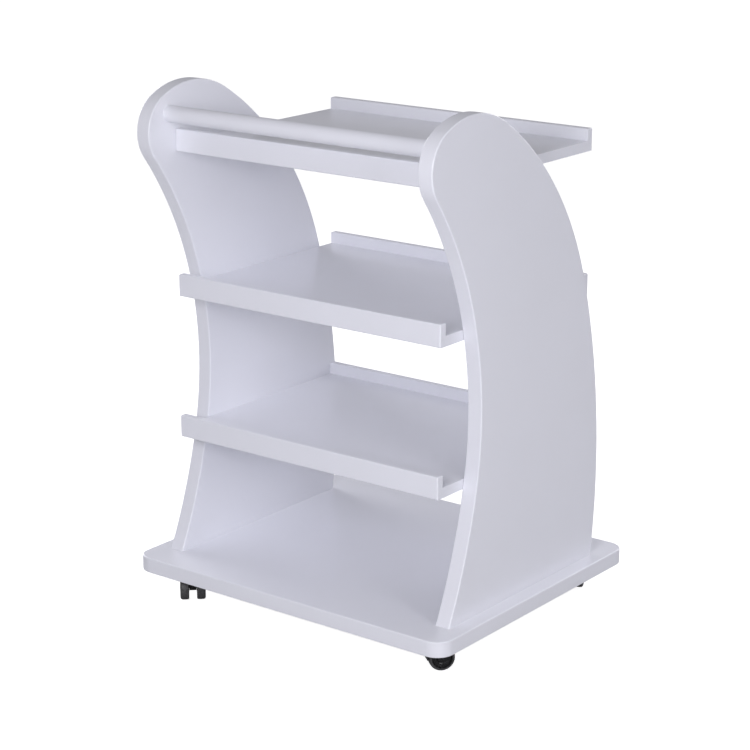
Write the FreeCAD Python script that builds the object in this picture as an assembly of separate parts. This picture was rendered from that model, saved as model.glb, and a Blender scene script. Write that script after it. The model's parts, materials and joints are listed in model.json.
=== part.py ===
import FreeCAD, Part
import math
import os

# Rolling salon trolley: a lacquered base board on four twin-wheel casters, two tall curved side panels,
# three lipped trays between them and a round handle rail at the front.
#
# Frame: millimetres, +Z up, origin on the floor under the centre of the base board.
# -Y is the front, where the handle rail is, and +X is the right-hand side seen from the front.

V = FreeCAD.Vector
UP = V(0, 0, 1)
ORIGIN = V(0, 0, 0)

# ---- Boards -------------------------------------------------------------------------------------------

BOARD = 25.0              # thickness of the base board and the side panels
EASE = 2.0                # round-over on the visible edges of the boards

BASE_WIDTH = 600.0
BASE_DEPTH = 508.0
BASE_CORNER = 28.0        # plan radius of the base board's corners

TRAY_WIDTH = 498.0        # clear width between the side panels
TRAY_DEPTH = 390.0        # over both lips
TRAY_BOARD = 16.0         # thickness of a tray's board
LIP_THICK = 12.5
LIP_HEIGHT = 35.0         # from the tray's underside
TRAY_PITCH = 226.5
FIRST_TRAY = 192.5        # underside of the lowest tray above the base board

# Each tray: its name, how far its centre is set back, and where its front and rear fittings sit along Y.
TRAYS = (
    ("lower", -1.0, -90.0, 140.0),
    ("middle", 3.0, -95.0, 115.0),
    ("upper", 4.0, -150.0, 0.0),
)

RAIL_RADIUS = 13.0
RAIL_Y = -204.5
RAIL_ABOVE_BASE = 705.0

# Side panel outline as (Y, height above the base board). It leaves the front foot at PANEL_START degrees
# above the +Y direction, runs up the front, over the head and down the back, as arcs that meet smoothly.
# Below the first and the last point each foot runs straight on down to the base board.
PANEL_START = 64.9
FOOT_STRAIGHT = 6.0
PANEL_OUTLINE = (
    (-196.7, FOOT_STRAIGHT),      # front foot
    (-135.0, 190.0),      # shin
    (-236.5, 640.0),      # chin
    (-216.0, 733.0),      # brow
    (-73.0, 730.0),       # crown
    (151.5, 450.0),       # shoulder
    (188.7, FOOT_STRAIGHT),       # rear foot
)

# ---- Casters: 40 mm twin-wheel, plate mounted ---------------------------------------------------------

CASTER_HEIGHT = 47.0      # floor to the underside of the base board
CASTER_X = 233.5          # swivel axes, from the centre of the trolley
CASTER_Y = 193.5
# Each caster: side along X, side along Y, and the direction its wheels trail towards, in degrees from +X.
CASTERS = {
    "front_left": (-1, -1, -48.0),
    "front_right": (1, -1, 50.0),
    "rear_left": (-1, 1, 75.0),
    "rear_right": (1, 1, 115.0),
}

# Sizes along the axle are counted from the caster's middle plane.
WHEEL_RADIUS = 20.0
WHEEL_TRAIL = 16.0        # axle behind the swivel axis
WHEEL_INNER = 5.8
WHEEL_OUTER = 20.6
HUB_RADIUS = 6.5
DISC_INNER = 14.5         # the wheel's disc between its hub and its rim
DISC_OUTER = 17.8
DISC_DISH = 0.6           # how much the disc's outer face sinks towards the hub
RIM_RADIUS = 13.4         # inside of the rim
RIM_SLOPE = 1.0           # the rim's and the hub's outer corners lean outwards by this much
RIM_DROP = 0.4            # the rim and the tyre stop this short of the hub's ends
TYRE_DEPTH = 4.0
TYRE_OUTER_ROUND = 3.8
TYRE_INNER_ROUND = 2.2

AXLE_RADIUS = 2.5
AXLE_HALF = 18.0
AXLE_CHAMFER = 0.5
SNAP_AT = 12.0            # a ridge in each wheel's bore snaps into a groove in the axle
SNAP_WIDTH = 1.2
SNAP_DEPTH = 0.35
SNAP_PLAY = 0.1           # along the axle, each side

WEB_HALF = 5.5            # half thickness of the housing's web between the wheels
WEB_ROUND = 4.0           # its leading edges
WEB_REACH = 8.0           # ahead of the swivel axis and behind it
WEB_CHEEK = 18.0          # height of its leading edge
AXLE_BOSS = 5.6           # radius of the web round the axle
BOSS_FRONT = 225.0        # where the web's leading face leaves that round, in degrees from the trailing side
HOOD_GAP = 1.2            # hood to tyre
HOOD_THICK = 1.8
HOOD_HALF = 20.6
HOOD_START = 62.0         # the hood's two ends, in degrees round the axle from the trailing side
HOOD_END = 182.0
SWIVEL_GAP = 0.4          # housing to plate

PLATE_SIZE = 38.0
PLATE_THICK = 2.0
PLATE_CORNER = 4.0
PLATE_HOLES = 28.0        # spacing of its four screws, both ways
KINGPIN_RADIUS = 3.0
KINGPIN_HEAD_RADIUS = 4.4
KINGPIN_HEAD = 1.6        # thickness of its lower head
KINGPIN_BELOW = 16.8      # its length below the plate
KINGPIN_SPREAD = 1.0      # how far its riveted end spreads in the plate's countersink

# ---- Fasteners ----------------------------------------------------------------------------------------

FIT_GAP = 0.05            # radial gap between every pin, dowel or screw and its hole
HOLE_END = 0.3            # how much deeper than its pin each blind hole is
HEAD_EDGE = 0.2           # straight edge of a countersunk head
SCREW_TIP = 0.4           # radius of a screw's blunt point
RECESS_WIDTH = 0.3        # arm width, arm length and depth of a crossed recess, per head radius
RECESS_LENGTH = 1.3
RECESS_DEPTH = 0.45

FOOT_SCREW_Y = (-150.0, -5.0, 140.0)
FOOT_SCREW_RADIUS = 3.5
FOOT_SCREW_HEAD = 5.0
FOOT_SCREW_LENGTH = 50.0
FOOT_DOWEL_Y = (-78.0, 68.0)
FOOT_DOWEL_HALF = 16.0    # how far each foot dowel goes into base and panel
DOWEL_RADIUS = 4.0

CAM_RADIUS = 7.5
CAM_DEPTH = 12.5
CAM_FROM_END = 34.0       # cam centre from the tray's end
CAM_PAST = 3.0            # the cam's pocket reaches this far past its centre
CAM_BORE = 4.0            # pocket, and the bore for the bolt in the tray's end
CAM_BOLT_IN_PANEL = 11.0
CAM_BOLT_RADIUS = 3.0
CAM_NECK_RADIUS = 1.8
CAM_NECK_FROM = 28.0      # neck and head, from the panel's face
CAM_HEAD_FROM = 31.0
CAM_HEAD_RADIUS = 3.2
CAM_BOLT_LENGTH = 35.0

TRAY_DOWEL_STEP = 32.0    # dowel centre from the cam bolt beside it
TRAY_DOWEL_IN_PANEL = 12.0
TRAY_DOWEL_IN_TRAY = 18.0

LIP_DOWEL_X = (-180.0, 0.0, 180.0)
LIP_DOWEL_RADIUS = 3.0
LIP_DOWEL_IN_LIP = 8.0
LIP_DOWEL_IN_BOARD = 16.0

RAIL_DOWEL_RADIUS = 5.0
RAIL_DOWEL_IN_PANEL = 17.0
RAIL_DOWEL_IN_RAIL = 28.0

CASTER_SCREW_RADIUS = 1.75
CASTER_SCREW_HEAD = 3.5
CASTER_SCREW_LENGTH = 16.0

# ---- Places that follow from the sizes ----------------------------------------------------------------

SIDES = (-1, 1)
BASE_BOTTOM = CASTER_HEIGHT
BASE_TOP = BASE_BOTTOM + BOARD
PANEL_INNER = TRAY_WIDTH / 2
PANEL_MIDDLE = PANEL_INNER + BOARD / 2
RAIL_Z = BASE_TOP + RAIL_ABOVE_BASE
LIP_JOINT = TRAY_DEPTH / 2 - LIP_THICK
PLATE_BOTTOM = BASE_BOTTOM - PLATE_THICK
KINGPIN_BOTTOM = PLATE_BOTTOM - KINGPIN_BELOW
AXLE = V(WHEEL_TRAIL, 0, WHEEL_RADIUS)
HOOD_INNER = WHEEL_RADIUS + HOOD_GAP
HOOD_OUTER = HOOD_INNER + HOOD_THICK
WEB_TOP = PLATE_BOTTOM - SWIVEL_GAP


# ---- Shape helpers ------------------------------------------------------------------------------------

def box(low, high):
    size = high - low
    return Part.makeBox(size.x, size.y, size.z, low)


def rod(radius, start, end):
    """A cylinder between two points."""
    return Part.makeCylinder(radius, (end - start).Length, start, end - start)


def dowel_hole(radius, start, end):
    """The cutter for a rod: a little wider, and a little longer at both ends."""
    reach = (end - start).normalize() * HOLE_END
    return rod(radius + FIT_GAP, start - reach, end + reach)


def turned(profile, direction=UP):
    """A solid turned about the line through the origin along direction, from (distance, radius) pairs."""
    outline = [V(0, 0, profile[0][0])]
    outline += [V(radius, 0, distance) for distance, radius in profile]
    outline += [V(0, 0, profile[-1][0]), V(0, 0, profile[0][0])]
    solid = Part.Face(Part.makePolygon(outline)).revolve(ORIGIN, UP, 360)
    solid.Placement = FreeCAD.Placement(ORIGIN, FreeCAD.Rotation(UP, direction))
    return solid


def cut_all(shape, cutters):
    return shape.cut(Part.makeCompound(cutters))


def rotated_pair(pair, degrees):
    """A (Y, Z) direction turned anticlockwise."""
    angle = math.radians(degrees)
    y, z = pair
    return (y * math.cos(angle) - z * math.sin(angle), y * math.sin(angle) + z * math.cos(angle))


def smooth_arcs(points, heading):
    """Arcs in the YZ plane through the points, each leaving in the direction in which the last arrived."""
    edges = []
    direction = rotated_pair((1, 0), heading)
    for (y0, z0), (y1, z1) in zip(points, points[1:]):
        along = direction[0] * (y1 - y0) + direction[1] * (z1 - z0)
        across = direction[0] * (z1 - z0) - direction[1] * (y1 - y0)
        half_turn = math.degrees(math.atan2(across, along))
        to_middle = rotated_pair(direction, half_turn / 2)
        reach = math.hypot(along, across) / 2 / math.cos(math.radians(half_turn / 2))
        middle = V(0, y0 + to_middle[0] * reach, z0 + to_middle[1] * reach)
        edges.append(Part.Arc(V(0, y0, z0), middle, V(0, y1, z1)).toShape())
        direction = rotated_pair(direction, 2 * half_turn)
    return edges


def edges_where(shape, test):
    """The edges whose bounding box passes a test."""
    return [edge for edge in shape.Edges if test(edge.BoundBox)]


def crossed_recess(head_radius):
    """The cutter for a screwdriver recess in a head that faces down at the origin."""
    width = RECESS_WIDTH * head_radius / 2
    length = RECESS_LENGTH * head_radius / 2
    depth = RECESS_DEPTH * head_radius
    arm = box(V(-length, -width, -1), V(length, width, depth))
    return arm.fuse(arm.rotated(ORIGIN, UP, 90))


def countersunk(head_radius, radius, length, gap=0.0):
    """The outline of a countersunk screw standing on its head at the origin, grown by a gap."""
    cone = head_radius - radius
    return turned([(0, head_radius + gap), (HEAD_EDGE + gap, head_radius + gap),
                   (HEAD_EDGE + gap + cone, radius + gap), (length - radius, radius + gap),
                   (length + gap, SCREW_TIP + gap)])


def screw(head_radius, radius, length):
    return countersunk(head_radius, radius, length).cut(crossed_recess(head_radius))


def copies(shape, places):
    return [shape.translated(place) for place in places]


# ---- Where the fasteners go ---------------------------------------------------------------------------

def tray_bottom(index):
    return BASE_TOP + FIRST_TRAY + index * TRAY_PITCH


def foot_screw_places():
    return [V(side * PANEL_MIDDLE, y, BASE_BOTTOM) for side in SIDES for y in FOOT_SCREW_Y]


def foot_dowel_lines():
    low = BASE_TOP - FOOT_DOWEL_HALF
    high = BASE_TOP + FOOT_DOWEL_HALF
    return [(V(side * PANEL_MIDDLE, y, low), V(side * PANEL_MIDDLE, y, high))
            for side in SIDES for y in FOOT_DOWEL_Y]


def cam_bolt_places(index):
    """Where the four cam bolts of a tray leave the panels, with the side each is on."""
    name, shift, front, rear = TRAYS[index]
    z = tray_bottom(index) + TRAY_BOARD / 2
    return [(side, V(side * PANEL_INNER, y, z)) for side in SIDES for y in (front, rear)]


def tray_dowel_lines(index):
    """A dowel beside each cam bolt, on the side nearer the middle of the joint."""
    name, shift, front, rear = TRAYS[index]
    z = tray_bottom(index) + TRAY_BOARD / 2
    in_panel = PANEL_INNER + TRAY_DOWEL_IN_PANEL
    in_tray = PANEL_INNER - TRAY_DOWEL_IN_TRAY
    return [(V(side * in_panel, y, z), V(side * in_tray, y, z))
            for side in SIDES for y in (front + TRAY_DOWEL_STEP, rear - TRAY_DOWEL_STEP)]


def lip_dowel_lines(index):
    name, shift, front, rear = TRAYS[index]
    z = tray_bottom(index) + TRAY_BOARD / 2
    in_lip = LIP_JOINT + LIP_DOWEL_IN_LIP
    in_board = LIP_JOINT - LIP_DOWEL_IN_BOARD
    return [(V(x, shift + side * in_lip, z), V(x, shift + side * in_board, z))
            for side in SIDES for x in LIP_DOWEL_X]


def rail_dowel_lines():
    in_panel = PANEL_INNER + RAIL_DOWEL_IN_PANEL
    in_rail = PANEL_INNER - RAIL_DOWEL_IN_RAIL
    return [(V(side * in_panel, RAIL_Y, RAIL_Z), V(side * in_rail, RAIL_Y, RAIL_Z)) for side in SIDES]


def plate_holes():
    """The four screw places of a caster plate, about the swivel axis."""
    half = PLATE_HOLES / 2
    return [V(x, y, PLATE_BOTTOM) for x in (-half, half) for y in (-half, half)]


def caster_centre(name):
    side_x, side_y, direction = CASTERS[name]
    return V(side_x * CASTER_X, side_y * CASTER_Y, 0)


def caster_screw_places():
    return [caster_centre(name) + place for name in CASTERS for place in plate_holes()]


def all_trays(lines_of_tray):
    return [line for index in range(len(TRAYS)) for line in lines_of_tray(index)]


# ---- Boards -------------------------------------------------------------------------------------------

def base_board():
    half = V(BASE_WIDTH / 2, BASE_DEPTH / 2, 0)
    board = box(V(0, 0, BASE_BOTTOM) - half, V(0, 0, BASE_TOP) + half)
    board = board.makeFillet(BASE_CORNER, edges_where(board, lambda b: b.ZLength > BOARD / 2))
    board = board.makeFillet(EASE, edges_where(board, lambda b: b.ZLength < EASE))
    foot_hole = countersunk(FOOT_SCREW_HEAD, FOOT_SCREW_RADIUS, FOOT_SCREW_LENGTH, FIT_GAP)
    caster_hole = countersunk(CASTER_SCREW_HEAD, CASTER_SCREW_RADIUS, CASTER_SCREW_LENGTH, FIT_GAP)
    cutters = copies(foot_hole, foot_screw_places())
    cutters += copies(caster_hole, caster_screw_places())
    cutters += [dowel_hole(DOWEL_RADIUS, *line) for line in foot_dowel_lines()]
    return cut_all(board, cutters)


def foot_point(arc, end):
    """Where the straight that carries on from an arc's end meets the base board."""
    point = arc.valueAt(end)
    heading = arc.tangentAt(end)
    return point - heading * (point.z / heading.z)


def panel_outline():
    arcs = smooth_arcs(PANEL_OUTLINE, PANEL_START)
    front = foot_point(arcs[0], arcs[0].FirstParameter)
    rear = foot_point(arcs[-1], arcs[-1].LastParameter)
    front_straight = Part.makeLine(front, V(0, *PANEL_OUTLINE[0]))
    rear_straight = Part.makeLine(V(0, *PANEL_OUTLINE[-1]), rear)
    return Part.Wire([front_straight] + arcs + [rear_straight, Part.makeLine(rear, front)])


def side_panel(side):
    start = PANEL_INNER if side > 0 else -PANEL_INNER - BOARD
    outline = Part.Face(panel_outline()).translated(V(start, 0, BASE_TOP))
    panel = outline.extrude(V(BOARD, 0, 0))
    panel = panel.makeFillet(EASE, edges_where(panel, lambda b: b.XLength < EASE and b.ZLength > EASE))
    foot_hole = countersunk(FOOT_SCREW_HEAD, FOOT_SCREW_RADIUS, FOOT_SCREW_LENGTH, FIT_GAP)
    cutters = copies(foot_hole, foot_screw_places())
    lines = foot_dowel_lines() + all_trays(tray_dowel_lines)
    cutters += [dowel_hole(DOWEL_RADIUS, *line) for line in lines]
    cutters += [dowel_hole(RAIL_DOWEL_RADIUS, *line) for line in rail_dowel_lines()]
    for bolt_side, place in all_trays(cam_bolt_places):
        cutters.append(dowel_hole(CAM_BOLT_RADIUS, place, place + V(bolt_side * CAM_BOLT_IN_PANEL, 0, 0)))
    return cut_all(panel, cutters)


def tray_board(index):
    name, shift, front, rear = TRAYS[index]
    bottom = tray_bottom(index)
    top = bottom + TRAY_BOARD
    board = box(V(-PANEL_INNER, shift - LIP_JOINT, bottom), V(PANEL_INNER, shift + LIP_JOINT, top))
    cutters = [dowel_hole(DOWEL_RADIUS, *line) for line in tray_dowel_lines(index)]
    cutters += [dowel_hole(LIP_DOWEL_RADIUS, *line) for line in lip_dowel_lines(index)]
    for side, place in cam_bolt_places(index):
        centre = place - V(side * CAM_FROM_END, 0, TRAY_BOARD / 2)
        cutters.append(rod(CAM_BORE, place + V(side, 0, 0), centre + V(0, 0, TRAY_BOARD / 2)))
        cutters.append(dowel_hole(CAM_RADIUS, centre, centre + V(0, 0, CAM_DEPTH)))
    return cut_all(board, cutters)


def tray_lip(index, end):
    """A tray's front lip (end -1) or rear lip (end 1), eased along its top and its outer face."""
    name, shift, front, rear = TRAYS[index]
    bottom = tray_bottom(index)
    top = bottom + LIP_HEIGHT
    inner = shift + end * LIP_JOINT
    outer = shift + end * TRAY_DEPTH / 2
    lip = box(V(-PANEL_INNER, min(inner, outer), bottom), V(PANEL_INNER, max(inner, outer), top))

    def on_show(b):
        along_top = b.ZMin > top - EASE
        along_outer_face = abs((b.YMin + b.YMax) / 2 - outer) < EASE
        return along_top or along_outer_face

    lip = lip.makeFillet(EASE, edges_where(lip, on_show))
    return cut_all(lip, [dowel_hole(LIP_DOWEL_RADIUS, *line) for line in lip_dowel_lines(index)])


def handle_rail():
    rail = rod(RAIL_RADIUS, V(-PANEL_INNER, RAIL_Y, RAIL_Z), V(PANEL_INNER, RAIL_Y, RAIL_Z))
    return cut_all(rail, [dowel_hole(RAIL_DOWEL_RADIUS, *line) for line in rail_dowel_lines()])


# ---- Fastener groups ----------------------------------------------------------------------------------

def cam_lock(side, place):
    """A round cam under the tray, with a pocket for the bolt's head and a recess to turn it by."""
    centre = place - V(side * CAM_FROM_END, 0, TRAY_BOARD / 2)
    bolt_axis = V(0, 0, TRAY_BOARD / 2)
    cam = rod(CAM_RADIUS, centre, centre + V(0, 0, CAM_DEPTH))
    pocket = rod(CAM_BORE, place, centre + bolt_axis - V(side * CAM_PAST, 0, 0))
    return cam.cut(pocket).cut(crossed_recess(CAM_RADIUS / 2).translated(centre))


def cam_bolt(side, place):
    """A bolt screwed into the panel, with a neck and a head for the cam to pull on."""
    profile = [(-CAM_BOLT_IN_PANEL, CAM_BOLT_RADIUS), (CAM_NECK_FROM, CAM_BOLT_RADIUS),
               (CAM_NECK_FROM, CAM_NECK_RADIUS), (CAM_HEAD_FROM, CAM_NECK_RADIUS),
               (CAM_HEAD_FROM, CAM_HEAD_RADIUS), (CAM_BOLT_LENGTH, CAM_HEAD_RADIUS)]
    return turned(profile, V(-side, 0, 0)).translated(place)


def fastener_groups():
    """Identical fasteners, each group in one node as separate solids."""
    foot_screw = screw(FOOT_SCREW_HEAD, FOOT_SCREW_RADIUS, FOOT_SCREW_LENGTH)
    caster_screw = screw(CASTER_SCREW_HEAD, CASTER_SCREW_RADIUS, CASTER_SCREW_LENGTH)
    return {
        "foot_screws": copies(foot_screw, foot_screw_places()),
        "foot_dowels": [rod(DOWEL_RADIUS, *line) for line in foot_dowel_lines()],
        "cam_locks": [cam_lock(*place) for place in all_trays(cam_bolt_places)],
        "cam_bolts": [cam_bolt(*place) for place in all_trays(cam_bolt_places)],
        "tray_dowels": [rod(DOWEL_RADIUS, *line) for line in all_trays(tray_dowel_lines)],
        "lip_dowels": [rod(LIP_DOWEL_RADIUS, *line) for line in all_trays(lip_dowel_lines)],
        "rail_dowels": [rod(RAIL_DOWEL_RADIUS, *line) for line in rail_dowel_lines()],
        "caster_screws": copies(caster_screw, caster_screw_places()),
        "caster_kingpins": copies(kingpin(), [caster_centre(name) for name in CASTERS]),
    }


# ---- Caster pieces, built about the swivel axis with the wheels trailing along +X ---------------------

def caster_plate():
    half = PLATE_SIZE / 2
    plate = box(V(-half, -half, PLATE_BOTTOM), V(half, half, BASE_BOTTOM))
    plate = plate.makeFillet(PLATE_CORNER, edges_where(plate, lambda b: b.ZLength > PLATE_THICK / 2))
    hole = countersunk(CASTER_SCREW_HEAD, CASTER_SCREW_RADIUS, CASTER_SCREW_LENGTH, FIT_GAP)
    return cut_all(plate, copies(hole, plate_holes()) + [kingpin(FIT_GAP)])


def kingpin(gap=0.0):
    """The rivet that the housing turns on, headed below and spread into the plate above."""
    spread_from = BASE_BOTTOM - KINGPIN_SPREAD
    return turned([(KINGPIN_BOTTOM - gap, KINGPIN_HEAD_RADIUS + gap),
                   (KINGPIN_BOTTOM + KINGPIN_HEAD + gap, KINGPIN_HEAD_RADIUS + gap),
                   (KINGPIN_BOTTOM + KINGPIN_HEAD + gap, KINGPIN_RADIUS + gap),
                   (spread_from, KINGPIN_RADIUS + gap),
                   (BASE_BOTTOM, KINGPIN_RADIUS + KINGPIN_SPREAD + gap)])


def round_axle(radius, degrees):
    """A point on a circle round the axle, counted from the trailing side upwards."""
    angle = math.radians(degrees)
    return AXLE + V(radius * math.cos(angle), 0, radius * math.sin(angle))


def caster_hood():
    """A curved cover over the tops of both wheels."""
    middle = (HOOD_START + HOOD_END) / 2
    inner = [round_axle(HOOD_INNER, degrees) for degrees in (HOOD_START, middle, HOOD_END)]
    outer = [round_axle(HOOD_OUTER, degrees) for degrees in (HOOD_END, middle, HOOD_START)]
    wire = Part.Wire([
        Part.Arc(*inner).toShape(),
        Part.makeLine(inner[-1], outer[0]),
        Part.Arc(*outer).toShape(),
        Part.makeLine(outer[-1], inner[0]),
    ])
    return Part.Face(wire).translated(V(0, -HOOD_HALF, 0)).extrude(V(0, 2 * HOOD_HALF, 0))


def caster_web():
    """The wall between the wheels, from the kingpin's boss to the axle's boss."""
    top_front = V(-WEB_REACH, 0, WEB_TOP)
    top_rear = V(WEB_REACH, 0, WEB_TOP)
    cheek = V(-WEB_REACH, 0, WEB_TOP - WEB_CHEEK)
    hood_top = round_axle(HOOD_OUTER, 90)
    hood_end = round_axle(HOOD_OUTER, HOOD_START)
    boss_rear = round_axle(AXLE_BOSS, 0)
    boss_under = round_axle(AXLE_BOSS, (BOSS_FRONT - 360) / 2)
    boss_front = round_axle(AXLE_BOSS, BOSS_FRONT)
    wire = Part.Wire([
        Part.makeLine(top_front, top_rear),
        Part.makeLine(top_rear, hood_top),
        Part.Arc(hood_top, round_axle(HOOD_OUTER, (90 + HOOD_START) / 2), hood_end).toShape(),
        Part.makeLine(hood_end, boss_rear),
        Part.Arc(boss_rear, boss_under, boss_front).toShape(),
        Part.makeLine(boss_front, cheek),
        Part.makeLine(cheek, top_front),
    ])
    web = Part.Face(wire).translated(V(0, -WEB_HALF, 0)).extrude(V(0, 2 * WEB_HALF, 0))
    leading = edges_where(web, lambda b: b.XMax < 0 and b.XLength < WEB_ROUND and b.YLength < WEB_ROUND)
    return web.makeFillet(WEB_ROUND, leading)


def caster_housing():
    bore = rod(KINGPIN_RADIUS + FIT_GAP, ORIGIN, V(0, 0, CASTER_HEIGHT))
    head_top = V(0, 0, KINGPIN_BOTTOM + KINGPIN_HEAD + SWIVEL_GAP)
    head_room = rod(KINGPIN_HEAD_RADIUS + SWIVEL_GAP, ORIGIN, head_top)
    axle_bore = rod(AXLE_RADIUS, AXLE - V(0, WHEEL_INNER, 0), AXLE + V(0, WHEEL_INNER, 0))
    return cut_all(caster_web().fuse(caster_hood()), [bore, head_room, axle_bore])


def caster_axle():
    """A steel pin with a snap groove near each end."""
    groove_radius = AXLE_RADIUS - SNAP_DEPTH
    groove_start = SNAP_AT - SNAP_PLAY
    groove_end = SNAP_AT + SNAP_WIDTH + SNAP_PLAY
    half = [(groove_start, AXLE_RADIUS), (groove_start, groove_radius),
            (groove_end, groove_radius), (groove_end, AXLE_RADIUS),
            (AXLE_HALF - AXLE_CHAMFER, AXLE_RADIUS), (AXLE_HALF, AXLE_RADIUS - AXLE_CHAMFER)]
    other_half = [(-distance, radius) for distance, radius in reversed(half)]
    return turned(other_half + half, V(0, 1, 0)).translated(AXLE)


def wheel_bore():
    """The wheel's blind bore with its snap ridge, as a cutter."""
    wide = AXLE_RADIUS + FIT_GAP
    narrow = wide - SNAP_DEPTH
    return turned([(0, wide), (SNAP_AT, wide), (SNAP_AT, narrow), (SNAP_AT + SNAP_WIDTH, narrow),
                   (SNAP_AT + SNAP_WIDTH, wide), (AXLE_HALF + HOLE_END, wide)], V(0, 1, 0))


def caster_wheel():
    """The right-hand wheel: hub, disc and rim, with a low domed cap in the middle of its outer face."""
    seat = WHEEL_RADIUS - TYRE_DEPTH
    rim_inner = WHEEL_INNER + RIM_DROP
    rim_outer = WHEEL_OUTER - RIM_DROP
    profile = [(WHEEL_INNER, HUB_RADIUS), (DISC_INNER, HUB_RADIUS), (DISC_INNER, RIM_RADIUS),
               (rim_inner, RIM_RADIUS), (rim_inner, seat), (rim_outer, seat),
               (rim_outer, RIM_RADIUS + RIM_SLOPE), (DISC_OUTER, RIM_RADIUS),
               (DISC_OUTER - DISC_DISH, HUB_RADIUS + RIM_SLOPE), (rim_outer, HUB_RADIUS),
               (WHEEL_OUTER, HUB_RADIUS / 2)]
    return turned(profile, V(0, 1, 0)).cut(wheel_bore()).translated(AXLE)


def caster_tyre():
    """The right-hand wheel's tyre, well rounded at its outer shoulder."""
    rim_inner = WHEEL_INNER + RIM_DROP
    rim_outer = WHEEL_OUTER - RIM_DROP
    tyre = rod(WHEEL_RADIUS, AXLE + V(0, rim_inner, 0), AXLE + V(0, rim_outer, 0))
    outer_edge = edges_where(tyre, lambda b: b.YMin > rim_outer - RIM_DROP)
    tyre = tyre.makeFillet(TYRE_OUTER_ROUND, outer_edge)
    inner_edge = edges_where(tyre, lambda b: b.YMax < rim_inner + RIM_DROP)
    tyre = tyre.makeFillet(TYRE_INNER_ROUND, inner_edge)
    return tyre.cut(rod(WHEEL_RADIUS - TYRE_DEPTH, AXLE, AXLE + V(0, WHEEL_OUTER, 0)))


def other_side(shape):
    return shape.mirror(ORIGIN, V(0, 1, 0))


def caster_parts(name):
    """All pieces of one caster that aren't shared groups, set at its place and turned to its direction."""
    direction = CASTERS[name][2]
    pieces = {
        "plate": caster_plate(),
        "housing": caster_housing().rotated(ORIGIN, UP, direction),
        "axle": caster_axle().rotated(ORIGIN, UP, direction),
        "left_wheel": other_side(caster_wheel()).rotated(ORIGIN, UP, direction),
        "left_tyre": other_side(caster_tyre()).rotated(ORIGIN, UP, direction),
        "right_wheel": caster_wheel().rotated(ORIGIN, UP, direction),
        "right_tyre": caster_tyre().rotated(ORIGIN, UP, direction),
    }
    return {name + "_caster_" + piece: shape.translated(caster_centre(name)) for piece, shape in pieces.items()}


# ---- The whole trolley --------------------------------------------------------------------------------

def trolley():
    nodes = {
        "base_board": base_board(),
        "left_side_panel": side_panel(-1),
        "right_side_panel": side_panel(1),
        "handle_rail": handle_rail(),
    }
    for index, (name, shift, front, rear) in enumerate(TRAYS):
        nodes[name + "_tray_board"] = tray_board(index)
        nodes[name + "_tray_front_lip"] = tray_lip(index, -1)
        nodes[name + "_tray_rear_lip"] = tray_lip(index, 1)
    for name, solids in fastener_groups().items():
        nodes[name] = Part.makeCompound(solids)
    for name in CASTERS:
        nodes.update(caster_parts(name))
    return nodes


os.makedirs("parts", exist_ok=True)
for node, shape in trolley().items():
    shape.exportStep(os.path.join("parts", node + ".step"))
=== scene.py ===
import json
import math

import bmesh
import bpy
from mathutils import Matrix, Vector


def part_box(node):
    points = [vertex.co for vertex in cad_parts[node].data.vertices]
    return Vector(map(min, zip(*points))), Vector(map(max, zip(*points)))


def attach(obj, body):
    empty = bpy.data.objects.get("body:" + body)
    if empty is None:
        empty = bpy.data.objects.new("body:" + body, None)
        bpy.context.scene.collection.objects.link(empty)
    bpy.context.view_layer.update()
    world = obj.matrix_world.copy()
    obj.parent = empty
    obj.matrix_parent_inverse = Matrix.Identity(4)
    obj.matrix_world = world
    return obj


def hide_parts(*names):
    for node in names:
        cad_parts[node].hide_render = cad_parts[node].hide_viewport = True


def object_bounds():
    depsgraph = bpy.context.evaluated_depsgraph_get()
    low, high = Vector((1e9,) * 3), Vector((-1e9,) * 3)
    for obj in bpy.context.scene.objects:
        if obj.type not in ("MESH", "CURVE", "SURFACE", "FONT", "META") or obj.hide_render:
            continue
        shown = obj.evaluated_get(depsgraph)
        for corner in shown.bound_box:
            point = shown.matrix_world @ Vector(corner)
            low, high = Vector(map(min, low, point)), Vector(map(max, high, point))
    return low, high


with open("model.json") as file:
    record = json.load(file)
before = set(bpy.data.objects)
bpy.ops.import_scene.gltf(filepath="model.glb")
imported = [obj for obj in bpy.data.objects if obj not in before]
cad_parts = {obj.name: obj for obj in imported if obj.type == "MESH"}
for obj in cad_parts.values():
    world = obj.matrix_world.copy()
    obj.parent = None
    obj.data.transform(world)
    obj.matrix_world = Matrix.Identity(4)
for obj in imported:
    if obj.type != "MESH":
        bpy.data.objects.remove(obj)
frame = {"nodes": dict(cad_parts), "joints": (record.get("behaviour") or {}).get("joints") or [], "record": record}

# Rolling salon trolley: white lacquered boards on four black twin-wheel casters.
#
# The boards, the handle rail and the fasteners are the CAD nodes with finished materials. The casters'
# wheels and tyres are turned again here, with the rings, domed caps and soft edges of moulded parts.

CAD_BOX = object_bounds()
RECORD = frame["record"]
CENTRE = (CAD_BOX[0] + CAD_BOX[1]) / 2
MM = 0.001

# The camera stands at the photograph's angle: degrees to the right of the front, degrees above the horizon.
VIEW_AZIMUTH = 37.43
VIEW_ELEVATION = 16.29
VIEW_DISTANCE = 3.411
VIEW_CENTRE = CENTRE + Vector((-1.1, -17.4, -43.5)) * MM
LENS = 105.17
SENSOR_WIDTH = 36

# Soft lamps: azimuth and elevation as for the camera, diameter in metres, power in watts.
LAMP_DISTANCE = 2.6
LAMP_TINT = (0.99, 0.985, 1.04)
LAMPS = (
    ("front_lamp", 20, 20, 0.9, 27.2),
    ("right_lamp", 72, 10, 0.9, 14.2),
    ("rear_lamp", 170, 18, 1.5, 20.5),
    ("left_lamp", 255, 15, 1.5, 31.0),
)
ROOM_LIGHT = 0.3
FLOOR_GLOW = 0.9
FLOOR_REACH = 12.0


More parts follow.
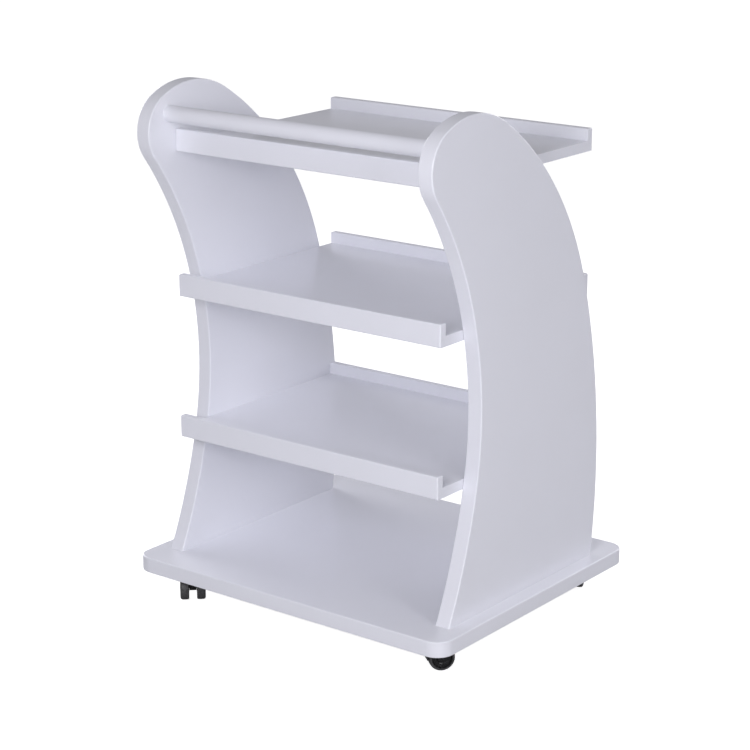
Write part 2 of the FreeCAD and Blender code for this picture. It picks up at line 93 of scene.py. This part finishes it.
# ---- Node helpers -------------------------------------------------------------------------------------

# The Mix node's colour inputs and output share their names with its number sockets, so they go by place.
MIX_FIRST = 6
MIX_SECOND = 7
MIX_RESULT = 2


def connect(tree, socket, value):
    """Gives an input a value, or links another node's output to it."""
    if isinstance(value, bpy.types.NodeSocket):
        tree.links.new(value, socket)
    else:
        socket.default_value = value


def add(tree, kind, inputs=None, **settings):
    """A new node. Each input is a value, or another node's output to link."""
    made = tree.nodes.new(kind)
    for name, value in settings.items():
        setattr(made, name, value)
    for name, value in (inputs or {}).items():
        connect(tree, made.inputs[name], value)
    return made


def new_material(name):
    """An empty material and its Principled node, already linked to the output."""
    made = bpy.data.materials.new(name)
    made.use_nodes = True
    tree = made.node_tree
    return made, tree, tree.nodes["Principled BSDF"]


def finish_surface(tree, surface, tone, roughness, normal, metallic=0.0):
    connect(tree, surface.inputs["Base Color"], tone)
    connect(tree, surface.inputs["Roughness"], roughness)
    connect(tree, surface.inputs["Normal"], normal)
    surface.inputs["Metallic"].default_value = metallic


def place(tree, stretch=(1, 1, 1)):
    """Object coordinates in metres, stretched for a grain."""
    where = add(tree, "ShaderNodeTexCoord").outputs["Object"]
    return add(tree, "ShaderNodeMapping", {"Vector": where, "Scale": stretch}).outputs["Vector"]


def noise(tree, where, scale, detail=2.0, roughness=0.5):
    inputs = {"Vector": where, "Scale": scale, "Detail": detail, "Roughness": roughness}
    return add(tree, "ShaderNodeTexNoise", inputs).outputs["Fac"]


def ramp(tree, value, low, high, from_low=0.3, from_high=0.7):
    """Maps a noise value onto a range."""
    inputs = {"Value": value, "From Min": from_low, "From Max": from_high, "To Min": low, "To Max": high}
    return add(tree, "ShaderNodeMapRange", inputs).outputs["Result"]


def multiply(tree, first, second):
    return add(tree, "ShaderNodeMath", {0: first, 1: second}, operation="MULTIPLY").outputs["Value"]


def mix_color(tree, factor, first, second):
    inputs = {"Factor": factor, MIX_FIRST: first, MIX_SECOND: second}
    return add(tree, "ShaderNodeMix", inputs, data_type="RGBA").outputs[MIX_RESULT]


def bump(tree, height, distance, normal=None):
    """The surface's normal, tilted by a height pattern. It builds on another normal if one is given."""
    inputs = {"Height": height, "Distance": distance, "Strength": 1.0}
    if normal is not None:
        inputs["Normal"] = normal
    return add(tree, "ShaderNodeBump", inputs).outputs["Normal"]


def rounded_normal(tree, radius, samples):
    """A normal that bends over sharp edges as if they had this radius."""
    return add(tree, "ShaderNodeBevel", {"Radius": radius}, samples=samples).outputs["Normal"]


def edge_mask(tree, radius):
    """About 1 on edges and corners, 0 on flat faces."""
    rounded = rounded_normal(tree, radius, samples=4)
    flat = add(tree, "ShaderNodeNewGeometry").outputs["Normal"]
    dot = add(tree, "ShaderNodeVectorMath", {0: rounded, 1: flat}, operation="DOT_PRODUCT").outputs["Value"]
    return ramp(tree, dot, low=1.0, high=0.0, from_low=0.86, from_high=0.995)


def hollow_mask(tree, distance):
    """About 1 in inside corners, 0 in the open."""
    made = add(tree, "ShaderNodeAmbientOcclusion", {"Distance": distance}, samples=4)
    return ramp(tree, made.outputs["AO"], low=1.0, high=0.0, from_low=0.25, from_high=0.75)


# ---- Materials ----------------------------------------------------------------------------------------

LACQUER = (0.855, 0.862, 0.915, 1)
# Lighter than the lacquer: a painted highlight for its edges.
LACQUER_EDGE_HIGHLIGHT = (0.88, 0.882, 0.93, 1)
# A darker copy of the lacquer: for the random clouding, and for the painted shade in inside corners.
LACQUER_CLOUD_AND_SHADE = (0.80, 0.80, 0.835, 1)
NYLON = (0.0045, 0.0045, 0.005, 1)
NYLON_DUSTY = (0.018, 0.0175, 0.017, 1)
NYLON_WORN = (0.045, 0.045, 0.046, 1)
RUBBER = (0.05, 0.05, 0.051, 1)
RUBBER_SCUFFED = (0.115, 0.113, 0.110, 1)
ZINC_DARK = (0.60, 0.61, 0.63, 1)
ZINC_BRIGHT = (0.74, 0.75, 0.78, 1)
ALLOY_DARK = (0.42, 0.42, 0.43, 1)
ALLOY_BRIGHT = (0.60, 0.60, 0.61, 1)
BEECH_DARK = (0.52, 0.34, 0.19, 1)
BEECH_PALE = (0.70, 0.51, 0.32, 1)
FLOOR_DARK = (0.50, 0.50, 0.505, 1)
FLOOR_PALE = (0.54, 0.54, 0.545, 1)

# How far clouds, dust, wear and the painted shade in the lacquer's inside corners shift a tone, from 0 to 1.
LACQUER_CLOUDING = 0.25
LACQUER_CORNER_SHADE = 0.35
NYLON_DUST = 0.5
NYLON_WEAR = 0.4

# A grain is a noise drawn out along one direction.
ALONG_X = (0.06, 1, 1)
ALONG_Y = (1, 0.06, 1)
ALONG_Z = (1, 1, 0.06)


def lacquer(name, grain=None):
    """Satin lacquer: faint clouding, smears in its gloss, a fine orange-peel skin, edges painted a little brighter
    as a highlight and painted shade in inside corners. A grain direction lets the wood show through the skin."""
    made, tree, surface = new_material(name)
    where = place(tree)
    clouds = ramp(tree, noise(tree, where, scale=5, detail=3), low=0.0, high=1.0)
    smears = noise(tree, where, scale=22, detail=4, roughness=0.6)
    tone = mix_color(tree, multiply(tree, clouds, LACQUER_CLOUDING), LACQUER, LACQUER_CLOUD_AND_SHADE)
    # Painted highlight: the edges are lightened, patchy along the smears.
    edge_highlight = multiply(tree, edge_mask(tree, radius=2 * MM), ramp(tree, smears, low=0.1, high=0.7))
    tone = mix_color(tree, edge_highlight, tone, LACQUER_EDGE_HIGHLIGHT)
    # Painted shade: inside corners are darkened towards a darker copy of the lacquer.
    corner_tint = multiply(tree, hollow_mask(tree, distance=12 * MM), LACQUER_CORNER_SHADE)
    tone = mix_color(tree, corner_tint, tone, LACQUER_CLOUD_AND_SHADE)
    peel = noise(tree, where, scale=420, detail=1)
    normal = bump(tree, peel, distance=0.03 * MM)
    if grain:
        streaks = noise(tree, place(tree, grain), scale=240, detail=3)
        normal = bump(tree, streaks, distance=0.02 * MM, normal=normal)
    finish_surface(tree, surface, tone, ramp(tree, smears, low=0.30, high=0.37), normal)
    surface.inputs["Coat Weight"].default_value = 0.25
    surface.inputs["Coat Roughness"].default_value = 0.15
    return made


def moulded_nylon(name):
    """Black nylon: semi-gloss with a fine texture, a little dust in its corners and soft edges."""
    made, tree, surface = new_material(name)
    where = place(tree)
    smears = noise(tree, where, scale=90, detail=3)
    corner_tint = multiply(tree, hollow_mask(tree, distance=3 * MM), NYLON_DUST)
    tone = mix_color(tree, corner_tint, NYLON, NYLON_DUSTY)
    worn = multiply(tree, edge_mask(tree, radius=0.6 * MM), NYLON_WEAR)
    tone = mix_color(tree, worn, tone, NYLON_WORN)
    texture = noise(tree, where, scale=2600, detail=2)
    soft_edges = rounded_normal(tree, radius=0.5 * MM, samples=6)
    normal = bump(tree, texture, distance=0.02 * MM, normal=soft_edges)
    finish_surface(tree, surface, tone, ramp(tree, smears, low=0.20, high=0.34), normal)
    return made


def rolling_rubber(name):
    """The wheels' rolling surface: dark grey, scuffed, with dust picked up from the floor."""
    made, tree, surface = new_material(name)
    where = place(tree)
    scuff_noise = noise(tree, where, scale=420, detail=4, roughness=0.65)
    scuffs = ramp(tree, scuff_noise, low=0.0, high=1.0, from_low=0.45, from_high=0.75)
    tone = mix_color(tree, scuffs, RUBBER, RUBBER_SCUFFED)
    roughness = ramp(tree, scuffs, low=0.42, high=0.62, from_low=0, from_high=1)
    normal = bump(tree, noise(tree, where, scale=1500, detail=3), distance=0.04 * MM)
    finish_surface(tree, surface, tone, roughness, normal)
    return made


def zinc_steel(name):
    """Bright zinc plate: patchy crystal tone, fine wear lines."""
    made, tree, surface = new_material(name)
    cells = add(tree, "ShaderNodeTexVoronoi", {"Vector": place(tree), "Scale": 700}).outputs["Distance"]
    patches = ramp(tree, cells, low=0, high=1, from_low=0, from_high=0.9)
    tone = mix_color(tree, patches, ZINC_DARK, ZINC_BRIGHT)
    lines = noise(tree, place(tree, (1, 14, 14)), scale=260, detail=3)
    roughness = ramp(tree, lines, low=0.24, high=0.42)
    finish_surface(tree, surface, tone, roughness, bump(tree, lines, distance=0.01 * MM), metallic=1.0)
    return made


def cast_alloy(name):
    """Die-cast alloy: dull, slightly pitted."""
    made, tree, surface = new_material(name)
    pits = noise(tree, place(tree), scale=1400, detail=4, roughness=0.7)
    tone = mix_color(tree, ramp(tree, pits, low=0, high=1), ALLOY_DARK, ALLOY_BRIGHT)
    roughness = ramp(tree, pits, low=0.38, high=0.55)
    finish_surface(tree, surface, tone, roughness, bump(tree, pits, distance=0.05 * MM), metallic=0.9)
    return made


def bare_beech(name, grain):
    """Bare beech: pale, with fine flecks running along the dowel."""
    made, tree, surface = new_material(name)
    flecks = noise(tree, place(tree, grain), scale=900, detail=4, roughness=0.6)
    shades = ramp(tree, flecks, low=0, high=1, from_low=0.35, from_high=0.65)
    tone = mix_color(tree, shades, BEECH_DARK, BEECH_PALE)
    roughness = ramp(tree, flecks, low=0.55, high=0.75)
    finish_surface(tree, surface, tone, roughness, bump(tree, flecks, distance=0.08 * MM))
    return made


def node_materials():
    """Materials by the record's slots and by CAD node. A dowel's grain follows its own direction."""
    by_slot = {
        "lacquered_board": lacquer("lacquered_board"),
        "lacquered_rail": lacquer("lacquered_rail", ALONG_X),
        "zinc_steel": zinc_steel("zinc_steel"),
        "cam_alloy": cast_alloy("cam_alloy"),
        "beech_dowel": bare_beech("beech_dowel", ALONG_X),
        "caster_plastic": moulded_nylon("caster_plastic"),
        "caster_tyre": rolling_rubber("caster_tyre"),
    }
    by_node = {part["node"]: by_slot[part["material_slot"]] for part in RECORD["subparts"]}
    by_node["foot_dowels"] = bare_beech("beech_dowel_upright", ALONG_Z)
    by_node["lip_dowels"] = bare_beech("beech_dowel_crosswise", ALONG_Y)
    return by_slot, by_node


def dress(nodes, by_node):
    for name, cad_node in nodes.items():
        cad_node.data.materials.clear()
        cad_node.data.materials.append(by_node[name])


# ---- Casters ------------------------------------------------------------------------------------------

# The moulded wheel, drawn in millimetres for a tyre seat of this radius and scaled to the frame's seat.
# Heights are counted along the axle from the caster's middle, outwards.
SEAT_RADIUS = 16.0
BORE_RADIUS = 2.6
HUB_RADIUS = 6.5
RIM_RADIUS = 13.4
RIM_DROP = 0.4          # the rim and the tyre stop this short of the hub's ends
RIM_LIP = 1.0           # width of the rim's outer edge
FACE_DEPTH = 2.8        # the disc's outer face below the cap's top
DISC_THICK = 3.3
DISH = 0.4              # how much the outer face sinks towards the hub
RING_RADII = (11.3, 9.1)
RING_RISE = 0.45
RING_FOOT = 0.5         # half width of a ring where it stands on the disc
RING_TOP = 0.3
COLLAR_WIDTH = 1.1      # sloping collar round the cap
CAP_RADIUS = 4.6
CAP_RISE = 0.5
BORE_END = 2.0          # the bore ends this far below the cap's top

TYRE_OUTER_ROUND = 3.8
TYRE_INNER_ROUND = 2.2
TYRE_CROWN = 0.15       # the tread falls away this much towards its shoulders

MOULDED_EDGE = 0.2      # radius of the small rounds on sharp edges
SHARP_ANGLE = 28        # degrees between two faces from which their edge counts as sharp
TURN_STEPS = 128
SAME_POINT = 0.0001     # points nearer than this are one


def turned(name, profile, unit):
    """A ring or disc turned about Z from a closed outline of (radius, height) pairs, counted in a unit."""
    mesh = bpy.data.meshes.new(name)
    shape = bmesh.new()
    outline = profile + profile[:1]
    corners = [shape.verts.new((radius * unit, 0, height * unit)) for radius, height in outline]
    edges = [shape.edges.new(pair) for pair in zip(corners, corners[1:])]
    bmesh.ops.spin(shape, geom=corners + edges, cent=(0, 0, 0), axis=(0, 0, 1), angle=2 * math.pi,
                   steps=TURN_STEPS, use_merge=True)
    bmesh.ops.remove_doubles(shape, verts=shape.verts, dist=SAME_POINT * unit)
    bmesh.ops.recalc_face_normals(shape, faces=shape.faces)
    shape.to_mesh(mesh)
    shape.free()
    mesh.shade_smooth()
    piece = bpy.data.objects.new(name, mesh)
    bpy.context.scene.collection.objects.link(piece)
    return piece


def quarter(radius, height, width, rise, steps=8):
    """Outline points of a quarter ellipse round a centre, from its widest radius to its crest."""
    angles = [step / steps * math.pi / 2 for step in range(steps + 1)]
    return [(radius + width * math.cos(angle), height + rise * math.sin(angle)) for angle in angles]


def soften(piece, width):
    """Small rounds on a piece's sharp edges."""
    round_over = piece.modifiers.new("rounds", "BEVEL")
    round_over.width = width
    round_over.segments = 3
    round_over.limit_method = "ANGLE"
    round_over.angle_limit = math.radians(SHARP_ANGLE)
    round_over.harden_normals = True


def span_along(node, origin, axis, unit):
    """How far a CAD node reaches each way from a point along a direction, counted in a unit."""
    reach = [(vertex.co - origin).dot(axis) for vertex in frame["nodes"][node].data.vertices]
    return min(reach) / unit, max(reach) / unit


def half_height(node):
    low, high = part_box(node)
    return (high.z - low.z) / 2


def wheel_outline(inner, outer):
    """A hub with a blind bore, a disc with a domed cap and two raised rings on its face, and a rim."""
    face = outer - FACE_DEPTH
    points = [
        (BORE_RADIUS, inner),
        (HUB_RADIUS, inner),
        (HUB_RADIUS, face - DISC_THICK),
        (RIM_RADIUS, face - DISC_THICK),
        (RIM_RADIUS, inner + RIM_DROP),
        (SEAT_RADIUS, inner + RIM_DROP),
        (SEAT_RADIUS, outer - RIM_DROP),
        (SEAT_RADIUS - RIM_LIP, outer - RIM_DROP),
        (RIM_RADIUS, face),
    ]
    for ring in RING_RADII:
        points += [(ring + RING_FOOT, face), (ring + RING_TOP, face + RING_RISE)]
        points += [(ring - RING_TOP, face + RING_RISE), (ring - RING_FOOT, face)]
    points += [(HUB_RADIUS + COLLAR_WIDTH, face - DISH), (HUB_RADIUS, outer - 2 * CAP_RISE)]
    points += quarter(0, outer - CAP_RISE, CAP_RADIUS, CAP_RISE)
    return points + [(0, outer - BORE_END), (BORE_RADIUS, outer - BORE_END)]


def tyre_shoulder(tread, side, radius, outwards):
    """A quarter round from the tread down to one of the tyre's sides; outwards is 1 or -1."""
    return quarter(tread - TYRE_CROWN - radius, side - outwards * radius, radius, outwards * radius)


def tyre_outline(inner, outer, tread):
    """A slightly crowned tread, well rounded at its outer shoulder and less at its inner one."""
    outside = tyre_shoulder(tread, outer, TYRE_OUTER_ROUND, 1)
    inside = tyre_shoulder(tread, inner, TYRE_INNER_ROUND, -1)
    crown = (tread, (inner + outer) / 2)
    return [(SEAT_RADIUS, outer)] + outside[::-1] + [crown] + inside + [(SEAT_RADIUS, inner)]


def caster_wheel(caster, side, joint, materials):
    """One wheel and its tyre, turned on the joint's axis with their outer faces away from the housing."""
    name = f"{caster}_caster_{side}"
    centre = Vector(joint["pos_m"])
    axis = Vector(joint["axis"]) * (1 if side == "right" else -1)
    unit = half_height(name + "_wheel") / SEAT_RADIUS
    tread = half_height(name + "_tyre") / unit
    outlines = {
        "wheel": wheel_outline(*span_along(name + "_wheel", centre, axis, unit)),
        "tyre": tyre_outline(*span_along(name + "_tyre", centre, axis, unit), tread),
    }
    slots = {"wheel": "caster_plastic", "tyre": "caster_tyre"}
    for part, outline in outlines.items():
        piece = turned(f"{name}_{part}_moulded", outline, unit)
        piece.data.materials.append(materials[slots[part]])
        piece.matrix_world = Matrix.Translation(centre) @ axis.to_track_quat("Z", "Y").to_matrix().to_4x4()
        soften(piece, MOULDED_EDGE * unit)
        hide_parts(f"{name}_{part}")
        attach(piece, joint["child"])


def build_casters(materials):
    for joint in frame["joints"]:
        if joint["name"].endswith("_wheel_spin"):
            caster, side = joint["child"].rsplit("_", 2)[0:2]
            caster_wheel(caster, side, joint, materials)


# ---- Floor, light and camera --------------------------------------------------------------------------

def floor():
    """A wide pale floor. It looks brighter to the camera than it lights the trolley, so it stays pale."""
    mesh = bpy.data.meshes.new("floor")
    corners = [(x * FLOOR_REACH, y * FLOOR_REACH, 0) for x, y in ((-1, -1), (1, -1), (1, 1), (-1, 1))]
    mesh.from_pydata(corners, [], [(0, 1, 2, 3)])
    made, tree, surface = new_material("floor")
    tone = mix_color(tree, noise(tree, place(tree), scale=1.5), FLOOR_DARK, FLOOR_PALE)
    connect(tree, surface.inputs["Base Color"], tone)
    surface.inputs["Roughness"].default_value = 0.7
    surface.inputs["Emission Color"].default_value = (1, 1, 1, 1)
    camera_ray = add(tree, "ShaderNodeLightPath").outputs["Is Camera Ray"]
    connect(tree, surface.inputs["Emission Strength"], multiply(tree, camera_ray, FLOOR_GLOW))
    mesh.materials.append(made)
    piece = bpy.data.objects.new("floor", mesh)
    bpy.context.scene.collection.objects.link(piece)


def toward(azimuth, elevation):
    """The direction from the trolley to a place, in degrees right of the front and above the horizon."""
    a = math.radians(azimuth)
    e = math.radians(elevation)
    return Vector((math.sin(a) * math.cos(e), -math.cos(a) * math.cos(e), math.sin(e)))


def soft_lamp(name, azimuth, elevation, size, power):
    lamp = bpy.data.lights.new(name, "AREA")
    lamp.shape = "DISK"
    lamp.size = size
    lamp.energy = power
    lamp.color = LAMP_TINT
    piece = bpy.data.objects.new(name, lamp)
    piece.location = CENTRE + toward(azimuth, elevation) * LAMP_DISTANCE
    piece.rotation_euler = (-toward(azimuth, elevation)).to_track_quat("-Z", "Y").to_euler()
    piece.visible_camera = False
    bpy.context.scene.collection.objects.link(piece)


def studio():
    """An even pale room, two soft lamps at the front and right, and two larger ones behind and left."""
    world = bpy.data.worlds.new("studio")
    bpy.context.scene.world = world
    world.use_nodes = True
    tree = world.node_tree
    room = tree.nodes["Background"]
    room.inputs["Color"].default_value = (*LAMP_TINT, 1)
    room.inputs["Strength"].default_value = ROOM_LIGHT
    seen = add(tree, "ShaderNodeBackground", {"Color": (1, 1, 1, 1), "Strength": 1.0})
    camera_ray = add(tree, "ShaderNodeLightPath").outputs["Is Camera Ray"]
    both = add(tree, "ShaderNodeMixShader", {0: camera_ray, 1: room.outputs[0], 2: seen.outputs[0]})
    tree.links.new(both.outputs[0], tree.nodes["World Output"].inputs["Surface"])
    for name, azimuth, elevation, size, power in LAMPS:
        soft_lamp(name, azimuth, elevation, size, power)


def camera():
    lens = bpy.data.cameras.new("camera")
    lens.lens = LENS
    lens.sensor_width = SENSOR_WIDTH
    piece = bpy.data.objects.new("camera", lens)
    piece.location = VIEW_CENTRE + toward(VIEW_AZIMUTH, VIEW_ELEVATION) * VIEW_DISTANCE
    piece.rotation_euler = (math.radians(90 - VIEW_ELEVATION), 0, math.radians(VIEW_AZIMUTH))
    bpy.context.scene.collection.objects.link(piece)
    bpy.context.scene.camera = piece


materials, node_material = node_materials()
dress(frame["nodes"], node_material)
build_casters(materials)
floor()
studio()
camera()
bpy.context.scene.view_settings.view_transform = "Standard"
